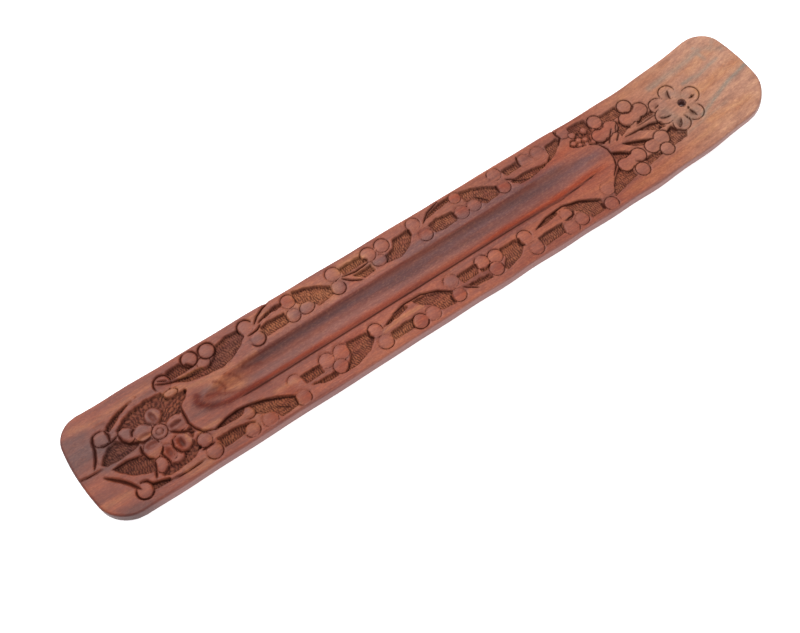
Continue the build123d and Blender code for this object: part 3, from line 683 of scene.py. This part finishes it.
# ------------------------------------------------------------------ the board's mesh
def thickness(s):
    """Thickness of the board, which thins gently over the raised end."""
    return THICKNESS - (THICKNESS - TIP_THICKNESS) * np.clip((s - FLAT) / (LENGTH - FLAT), 0, 1)


def bend(s, y, cut):
    """Places in metres of points that lie cut below the carved face."""
    past = np.maximum(s - FLAT, 0)
    radius = BEND - thickness(s) + cut
    x = np.minimum(s, FLAT) + radius * np.sin(past / BEND) - PLAN_LENGTH / 2
    z = BEND - radius * np.cos(past / BEND)
    return np.stack([x, y, z], axis=-1) * MM


def end_line(y, half, corners, skew=0.0):
    """How far an end's outline lies in from its tip, at y across the board."""
    corner = np.where(y > 0, corners[0], corners[1]) - EDGE
    beyond = np.clip(np.abs(y) - (half - corner), 0, corner)
    bow = BULGE * (y / half) ** 2 + skew * (0.125 - y / half)
    return bow + corner - np.sqrt(np.maximum(corner**2 - beyond**2, 0))


def columns():
    """Distances along the middle of the board, close together where it is carved."""
    parts = [np.arange(low, high - step / 2, step) for low, high, step in COLUMN_RUNS]
    return np.concatenate([*parts, np.linspace(COLUMN_RUNS[-1][1], LENGTH - EDGE, 14)])


def rows():
    """Two spacings across the board, from -1 to 1: even, and close together in the borders."""
    even = np.linspace(-1, 1, 2 * BORDER_ROWS + MIDDLE_ROWS + 1)
    inner = MIDDLE_HALF / (WIDTH / 2 - EDGE)
    border = np.linspace(-1, -inner, BORDER_ROWS + 1)
    return even, np.concatenate([border, np.linspace(-inner, inner, MIDDLE_ROWS + 1)[1:-1], -border[::-1]])


def grid():
    """The grid's (s, y), fitted into the board's outline less the worn edge."""
    along = columns()[:, None]
    even, banded = rows()
    share = stretch(along, 37.0, 48.0, 185.0, 196.0)
    half = WIDTH / 2 - EDGE
    y = (even * (1 - share) + banded * share) * half
    near = end_line(y, half, NEAR_CORNERS, NEAR_SKEW)
    far = end_line(y, half, FAR_CORNERS)
    return along + near * fade(along, END_FADE) - far * fade(LENGTH - along, END_FADE), y


def open_hole(s, y, quads):
    """The quads left when the face is open over the stick hole, and the loop of points round that opening."""
    opened = (np.hypot(s - HOLE[0], y - HOLE[1])[quads] < HOLE[2]).any(1)
    sides = dict.fromkeys((a, b) for quad in quads[opened] for a, b in zip(quad, np.roll(quad, -1)))
    follow = {a: b for a, b in sides if (b, a) not in sides}
    rim = [next(iter(follow))]
    while follow[rim[-1]] != rim[0]:
        rim.append(follow[rim[-1]])
    return quads[~opened], np.array(rim)


def edge_profile(cut, below):
    """How far out and how deep each ring round the outside lies, from the carved face to the underside."""
    turns = np.radians([30, 60, 90])
    flat = EDGE - LOWER_EDGE
    upper = [(EDGE * math.sin(t), cut + EDGE * (1 - math.cos(t))) for t in turns]
    lower = [(flat + LOWER_EDGE * math.sin(t), below - LOWER_EDGE * (1 - math.cos(t))) for t in turns[::-1]]
    return [*upper, (EDGE, 0.6 * below), *lower, (flat, below)]


class Shell:
    """The board's points, as s, y and depth below the uncarved face, and its faces."""

    def __init__(self):
        self.places, self.faces, self.count = [], [], 0

    def add(self, s, y, depth):
        """Adds points and gives their numbers."""
        self.places.append((s, y, depth))
        self.count += len(s)
        return np.arange(self.count - len(s), self.count)

    def join(self, loop, rings):
        """Faces from a loop of points through each of the rings after it. Gives the last ring."""
        for ring in rings:
            self.faces += np.stack([loop, ring, np.roll(ring, -1), np.roll(loop, -1)], -1).tolist()
            loop = ring
        return loop

    def close_under(self, outer, inner):
        """The underside: triangles between the outer loop and the loop round the stick hole."""
        s, y, _ = (np.concatenate(part) for part in zip(*self.places))
        ids = np.concatenate([outer, inner])
        edges = [(i, (i + 1) % len(outer)) for i in range(len(outer))]
        edges += [(len(outer) + i, len(outer) + (i + 1) % len(inner)) for i in range(len(inner))]
        inside = [(a, b) for a in np.arange(9.0, 245.0, UNDER_STEP) for b in np.arange(-15, 15.1, UNDER_STEP)
                  if math.hypot(a - HOLE[0], b - HOLE[1]) > HOLE_CLEAR]
        points = [Vector(p) for p in (*zip(s[ids], y[ids]), *inside)]
        corners, _, triangles, sources, *_ = delaunay_2d_cdt(points, edges, [], 1, 1e-7)
        extra_s, extra_y = np.array(inside).T
        ids = np.concatenate([ids, self.add(extra_s, extra_y, thickness(extra_s))])
        for a, b, c in triangles:
            centre = (corners[a] + corners[b] + corners[c]) / 3
            if math.hypot(centre.x - HOLE[0], centre.y - HOLE[1]) > HOLE[2] * 0.98:
                self.faces.append([int(ids[sources[corner][0]]) for corner in (c, b, a)])


def board_mesh():
    """The closed mesh: carved face, worn edges, sides, underside and the stick hole."""
    s, y = grid()
    index = np.arange(s.size).reshape(s.shape)
    s, y = s.ravel(), y.ravel()
    face = carve_face(s, y)

    # The stick hole: open the face there and draw its edge to a circle
    quads = np.stack([index[:-1, :-1], index[1:, :-1], index[1:, 1:], index[:-1, 1:]], -1).reshape(-1, 4)
    quads, rim = open_hole(s, y, quads)
    angle = np.arctan2(y[rim] - HOLE[1], s[rim] - HOLE[0])
    s[rim] = HOLE[0] + (HOLE[2] + HOLE_EASE) * np.cos(angle)
    y[rim] = HOLE[1] + (HOLE[2] + HOLE_EASE) * np.sin(angle)
    # the hole's mouth is sunk a little and given painted shade
    face.cut[rim], face.hollow_shade[rim] = 0.16, 0.8
    shell = Shell()
    shell.add(s, y, face.cut)
    shell.faces += quads.tolist()

    # Rings of points round the outside, from the carved face to the underside
    loop = np.concatenate([index[:-1, 0], index[-1, :-1], index[:0:-1, -1], index[0, :0:-1]])
    ds, dy = (np.roll(part[loop], -1) - np.roll(part[loop], 1) for part in (s, y))
    uneven = 1 + 0.16 / EDGE * ripple(s[loop], y[loop], 14.0, 21)
    out_s, out_y = dy / np.hypot(ds, dy) * uneven, -ds / np.hypot(ds, dy) * uneven
    rings = [shell.add(s[loop] + out_s * reach, y[loop] + out_y * reach, depth)
             for reach, depth in edge_profile(face.cut[loop], thickness(s[loop]))]
    outer = shell.join(loop, rings)

    # Rings down the stick hole
    hole_s, hole_y = HOLE[0] + HOLE[2] * np.cos(angle), HOLE[1] + HOLE[2] * np.sin(angle)
    levels = [np.full(len(rim), level) for level in (0.32, 1.2, 2.4)]
    inner = shell.join(rim, [shell.add(hole_s, hole_y, depth) for depth in (*levels, thickness(hole_s))])
    shell.close_under(outer, inner)

    mesh = bpy.data.meshes.new("board")
    where = np.concatenate([bend(*place) for place in shell.places])
    mesh.from_pydata(where.tolist(), [], shell.faces)
    side = np.ones(len(where))  # 0 on the carved face, rising over the worn edge
    side[:len(s)] = 0.0
    for ring, share in zip(rings, (0.35, 0.6, 0.85)):
        side[ring] = share
    marks = {"hollow_shade": face.hollow_shade, "hatch": face.hatch, "polish": face.polish, "stroke": face.stroke,
             "row": face.row, "line": face.line, "side": side, **face.figure}
    for name, values in marks.items():
        data = np.full(len(where), NO_LINE if name == "line" else 0.0, np.float32)
        data[:len(values)] = values
        if name in FIGURE_AND_PAINTED_LIGHT:
            for ring in rings:
                data[ring] = values[loop]
        mesh.attributes.new(name, "FLOAT", "POINT").data.foreach_set("value", data)
    mesh.polygons.foreach_set("use_smooth", np.ones(len(mesh.polygons), bool))
    mesh.update()
    return mesh


# ------------------------------------------------------------------ wood
class Nodes:
    """A short way to write a material's nodes."""

    def __init__(self, name):
        self.material = bpy.data.materials.new(name)
        self.material.use_nodes = True
        self.tree = self.material.node_tree
        self.tree.nodes.clear()

    def add(self, kind, inputs=None, **settings):
        node = self.tree.nodes.new(kind)
        for key, value in settings.items():
            setattr(node, key, value)
        for key, value in (inputs or {}).items():
            self.feed(node.inputs[key], value)
        return node

    def feed(self, socket, value):
        if isinstance(value, bpy.types.NodeSocket):
            self.tree.links.new(value, socket)
        else:
            socket.default_value = value

    def math(self, how, a, b=0.0):
        return self.add("ShaderNodeMath", {0: a, 1: b}, operation=how).outputs[0]

    def times(self, a, b):
        return self.math("MULTIPLY", a, b)

    def plus(self, a, b):
        return self.math("ADD", a, b)

    def minus(self, a, b):
        return self.math("SUBTRACT", a, b)

    def mix(self, share, a, b, how="MIX"):
        node = self.add("ShaderNodeMix", data_type="RGBA", blend_type=how)
        for i, value in ((0, share), (6, a), (7, b)):
            self.feed(node.inputs[i], value)
        return node.outputs[2]

    def ramp(self, value, stops):
        """Colours along a value; each stop is a place and a colour."""
        node = self.add("ShaderNodeValToRGB", {0: value})
        points = node.color_ramp.elements
        while len(points) < len(stops):
            points.new(0.5)
        for point, (place, colour) in zip(points, stops):
            point.position, point.color = place, (*colour[:3], 1)
        return node.outputs[0]

    def seen_ramp(self, value, *stops):
        """Colours along a value; each stop is a place and how red, green and blue it looks."""
        return self.ramp(value, [(place, seen(*tint)) for place, *tint in stops])

    def spread(self, value, low, high):
        """Maps low..high to 0..1, clamped."""
        return self.add("ShaderNodeMapRange", {0: value, 1: low, 2: high}, clamp=True).outputs[0]

    def noise(self, where, stretched, scale, detail, rough, shift=0.0):
        """Noise: scale is a bump's width across the grain in millimetres, stretched how much longer it is."""
        placed = self.add("ShaderNodeMapping", {0: where}, vector_type="POINT")
        unit = 1 / (scale * MM)
        placed.inputs["Scale"].default_value = (unit / stretched, unit, unit)
        placed.inputs["Location"].default_value = (shift, shift * 0.7, shift * 0.3)
        settings = {"Vector": placed.outputs[0], "Scale": 1.0, "Detail": detail, "Roughness": rough}
        return self.add("ShaderNodeTexNoise", settings).outputs[0]

    def finish(self, inputs):
        """Closes the material with its shader."""
        shader = self.add("ShaderNodeBsdfPrincipled", inputs)
        self.add("ShaderNodeOutputMaterial", {"Surface": shader.outputs[0]})
        return self.material


LAMPLIGHT = 1.75  # how much brighter than its own colour a face looks under this studio's light


def seen(r, g, b):
    """The colour that a face needs to look like these screen values, 0 to 255, under the lamps."""
    linear = [c / 255 / 12.92 if c <= 10 else ((c / 255 + 0.055) / 1.055) ** 2.4 for c in (r, g, b)]
    return (*[c / LAMPLIGHT for c in linear], 1)


# Noises of the wood: stretch along the grain, width of a bump, detail, roughness and shift
GRAIN = {
    "broad": (14, 9.0, 3, 0.5, 3.1),
    "streak": (16, 2.2, 5, 0.62, 1.7),
    "mottle": (3.5, 1.1, 4, 0.6, 5.5),
    "speck": (2.2, 0.42, 3, 0.6, 7.7),
    "fine": (22, 0.45, 4, 0.65, 9.2),
    "pore": (9, 0.16, 2, 0.5, 4.4),
    "cloud": (2.5, 11.0, 3, 0.5, 6.3),
    "wisp": (12, 1.1, 4, 0.6, 2.8),
    "cell": (1.2, 0.8, 2, 0.5, 3.9),
    "patch": (1.5, 2.2, 3, 0.6, 8.0),
}
# Colours of the streaks, of the figure and of the painted light and shade alike: light, deep, and the level
# of the wisps from which they show
FIGURE_AND_PAINTED_LIGHT_COLOURS = {
    "dusk": ((124, 88, 88), (98, 68, 70), 0.0),
    "amber": ((216, 148, 100), (192, 116, 74), 0.12),
    "rust": ((178, 74, 38), (142, 54, 32), 0.0),
    "ember": ((124, 42, 28), (82, 26, 18), 0.0),
    "olive": ((166, 142, 122), (140, 126, 110), 0.1),
}
# Small marks laid over the wood: the noise, its levels for none and full, the most of it, and its colour
SPECKLES = [
    ("mottle", 0.60, 0.40, 0.22, (112, 60, 50)),
    ("speck", 0.66, 0.40, 0.24, (104, 58, 52)),
    ("speck", 0.50, 0.70, 0.16, (216, 150, 110)),
    ("fine", 0.62, 0.40, 0.22, (100, 50, 40)),
    ("pore", 0.66, 0.74, 0.45, (64, 32, 26)),
]
# Casts from the near end, 0, to the raised one, 1: of the gouged grounds, which are darker and bluer near the
# near flower, and of all the wood, which is darker and redder at the near end and paler at the other
GROUND_CAST = [(0.03, (0.62, 0.74, 0.92)), (0.085, (0.90, 1.06, 1.36)), (0.25, (0.98, 1.04, 1.14)),
             (0.30, (1.04, 1.06, 1.08)), (0.71, (1, 1, 1)), (0.77, (0.90, 0.84, 0.84))]
WOOD_CAST = [(0.0, (0.80, 0.63, 0.55)), (0.17, (0.80, 0.62, 0.54)), (0.36, (1.08, 1.0, 0.98)),
             (0.80, (1.1, 1.04, 1.03)), (0.90, (1.08, 1.10, 1.10)), (0.97, (1.18, 1.29, 1.33))]


def wood_colour(w, x, grain, mark):
    """The uncut wood: long streaks, the figure with its few streaks of painted light and shade, and fine
    grain.
    """
    streak = grain["streak"]
    red = w.seen_ramp(streak, (0.30, 128, 66, 52), (0.45, 164, 88, 66), (0.56, 180, 98, 70),
                      (0.72, 196, 112, 74))
    dull = w.seen_ramp(streak, (0.30, 110, 70, 62), (0.5, 144, 90, 76), (0.7, 160, 100, 82))
    colour = w.mix(w.times(w.spread(grain["broad"], 0.48, 0.70), 0.6), red, dull)
    colour = w.mix(w.times(w.spread(grain["cloud"], 0.52, 0.70), 0.35), colour, seen(196, 116, 74))
    # the raised end is paler and yellower
    tan = w.seen_ramp(streak, (0.30, 176, 122, 96), (0.48, 204, 144, 114), (0.70, 220, 160, 124))
    colour = w.mix(w.times(w.spread(x, 0.068, 0.104), 0.85), colour, tan)
    for name, (light, deep, level) in FIGURE_AND_PAINTED_LIGHT_COLOURS.items():
        share = w.times(mark[name], w.spread(grain["wisp"], level, level + 0.38))
        colour = w.mix(share, colour, w.mix(w.spread(streak, 0.35, 0.62), seen(*deep), seen(*light)))
    for name, none, full, most, tint in SPECKLES:
        colour = w.mix(w.times(w.spread(grain[name], none, full), most), colour, seen(*tint))
    return w.mix(w.times(mark["polish"], 0.10), colour, seen(160, 112, 104))


def gouged_ground(w, grain, mark, colour):
    """Short gouge strokes in rows: how deep between two strokes, and the colour, with painted shade in the
    trenches between strokes and the crests left lit.
    """
    place = w.plus(mark["stroke"], w.times(w.math("FLOOR", mark["row"]), ROW_SHIFT))
    wave = w.math("COSINE", w.times(place, math.tau))
    uneven = w.plus(w.times(w.minus(grain["mottle"], 0.5), 2.5), w.times(w.minus(grain["cell"], 0.5), 5.0))
    trench = w.spread(w.plus(wave, uneven), -0.5, 1.1)
    ends = w.spread(w.math("ABSOLUTE", w.minus(w.math("FRACT", mark["row"]), 0.5)), 0.34, 0.5)
    trench = w.math("MAXIMUM", w.times(trench, 0.85), w.times(ends, 0.5))
    crest = w.mix(w.spread(grain["patch"], 0.38, 0.66), seen(138, 84, 66), seen(190, 126, 88))
    return trench, w.mix(trench, w.mix(0.6, crest, colour), seen(76, 41, 33))


def rosewood():
    """Waxed rosewood, with dark dust in the cuts."""
    w = Nodes("rosewood")
    where = w.add("ShaderNodeTexCoord").outputs["Object"]
    x = w.add("ShaderNodeSeparateXYZ", {0: where}).outputs[0]
    marks = ("hollow_shade", "hatch", "polish", "stroke", "row", "line", "side", *FIGURE_AND_PAINTED_LIGHT)
    mark = {name: w.add("ShaderNodeAttribute", attribute_name=name).outputs["Fac"] for name in marks}
    grain = {name: w.noise(where, *settings) for name, settings in GRAIN.items()}
    along = w.spread(x, -LENGTH / 2 * MM, LENGTH / 2 * MM)

    colour = wood_colour(w, x, grain, mark)
    trench, ground = gouged_ground(w, grain, mark, colour)
    ground = w.mix(1.0, ground, w.ramp(along, GROUND_CAST), "MULTIPLY")
    colour = w.mix(w.times(mark["hatch"], 0.94), colour, ground)
    colour = w.mix(1.0, colour, w.ramp(along, WOOD_CAST), "MULTIPLY")
    # painted shade in the cuts and hollows
    dark = w.times(w.math("POWER", mark["hollow_shade"], 1.2), 0.9)
    colour = w.mix(dark, colour, seen(56, 26, 19))
    # cut lines are painted dark, as the shade inside them
    cut_line = w.spread(mark["line"], 1.4, 0.6)
    colour = w.mix(w.times(cut_line, 0.78), colour, seen(58, 26, 20))
    # sides and underside have a purple cast, partly their own tone, partly painted reflection of the white
    # surroundings and painted light
    cast = w.mix(grain["streak"], seen(144, 98, 98), seen(184, 136, 130))
    # the near end's side is painted dark, as the shadow it lies in
    cast = w.mix(w.times(w.spread(x, -0.106, -0.118), 0.85), cast, seen(66, 38, 40))
    colour = w.mix(w.times(mark["side"], 0.75), colour, cast)

    rough = w.plus(w.plus(w.times(grain["fine"], 0.16), 0.38), w.times(mark["hatch"], 0.22))
    # heights of the fine relief, in millimetres
    height = w.plus(w.times(grain["fine"], 0.035), w.times(w.spread(grain["pore"], 0.74, 0.62), 0.025))
    height = w.minus(height, w.times(w.times(mark["hatch"], trench), 0.16))
    height = w.minus(height, w.times(cut_line, 0.12))
    bump = w.add("ShaderNodeBump", {"Height": height, "Strength": 1.0, "Distance": MM})
    # cuts, grounds and red streaks have less wax on them
    unwaxed = w.math("MAXIMUM", dark, cut_line)
    for name, share in (("hatch", 0.7), ("rust", 0.8), ("ember", 0.8)):
        unwaxed = w.math("MAXIMUM", unwaxed, w.times(mark[name], share))
    wax = w.mix(unwaxed, (1, 1, 1, 1), (0, 0, 0, 1))
    return w.finish({"Base Color": colour, "Roughness": rough, "Normal": bump.outputs[0], "IOR": 1.45,
                     "Specular IOR Level": 0.26, "Specular Tint": wax})


FLOOR_GLOW = 0.55  # the floor is lit through from below, like a light table, but not under the board, where the missing glow is a painted shadow
FLOOR_HALF = 3.0  # metres


def paper():
    """The pale floor, glowing, with a painted shadow under the board."""
    w = Nodes("paper")
    where = w.add("ShaderNodeTexCoord").outputs["Object"]
    grey = w.noise(where, 1, 60.0, 2, 0.5)
    colour = w.mix(grey, (0.86, 0.86, 0.87, 1), (0.90, 0.90, 0.91, 1))
    place = w.add("ShaderNodeSeparateXYZ", {0: where}).outputs
    # no glow under the board: a painted shadow there
    under = w.times(w.spread(w.math("ABSOLUTE", place[0]), 0.122, 0.112),
                    w.spread(w.math("ABSOLUTE", place[1]), 0.016, 0.010))
    glow = w.times(w.minus(1.0, under), FLOOR_GLOW)
    return w.finish({"Base Color": colour, "Roughness": 0.9, "Emission Color": (1, 1, 1, 1),
                     "Emission Strength": glow})


# ------------------------------------------------------------------ scene
def make(name, data, material=None):
    thing = bpy.data.objects.new(name, data)
    bpy.context.scene.collection.objects.link(thing)
    if material:
        data.materials.append(material)
    return thing


def aim(thing, place, back):
    """Stands a lamp or the camera at a place, with that way at its back."""
    thing.location = place
    thing.rotation_mode = "QUATERNION"
    thing.rotation_quaternion = (-Vector(back)).to_track_quat("-Z", "Y")


board = make("carved_burner", board_mesh(), rosewood())
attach(board, "root")
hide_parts("carved_board")

floor_mesh = bpy.data.meshes.new("floor")
floor_corners = [(a * FLOOR_HALF, b * FLOOR_HALF, 0) for a, b in ((-1, -1), (1, -1), (1, 1), (-1, 1))]
floor_mesh.from_pydata(floor_corners, [], [(0, 1, 2, 3)])
floor = make("floor", floor_mesh, paper())


def soft_light(name, place, size, power):
    """A square lamp that faces the board's middle."""
    lamp = bpy.data.lights.new(name, "AREA")
    lamp.shape, lamp.size, lamp.energy = "SQUARE", size, power
    aim(make(name, lamp), place, place)


soft_light("key", (-0.15, 0.55, 0.75), 0.7, 11.0)
soft_light("fill", (0.5, -0.5, 0.8), 0.9, 3.0)

world = bpy.data.worlds.new("studio")
world.use_nodes = True
sky = world.node_tree.nodes["Background"].inputs
sky[0].default_value = (1, 1, 1, 1)
sky[1].default_value = 0.75
bpy.context.scene.world = world
bpy.context.scene.view_settings.view_transform = "Standard"

# ------------------------------------------------------------------ camera
CAMERA_TARGET = Vector((-20.4, -7.8, 0.0)) * MM
CAMERA_BACK = Vector((-0.2511, -0.3593, 0.8988))
CAMERA_DISTANCE = 311.0 * MM
camera_data = bpy.data.cameras.new("camera")
camera_data.sensor_width = 36.0
camera_data.lens = 45.0
camera_data.clip_start = 0.01
camera = make("camera", camera_data)
aim(camera, CAMERA_TARGET + CAMERA_BACK * CAMERA_DISTANCE, CAMERA_BACK)
bpy.context.scene.camera = camera
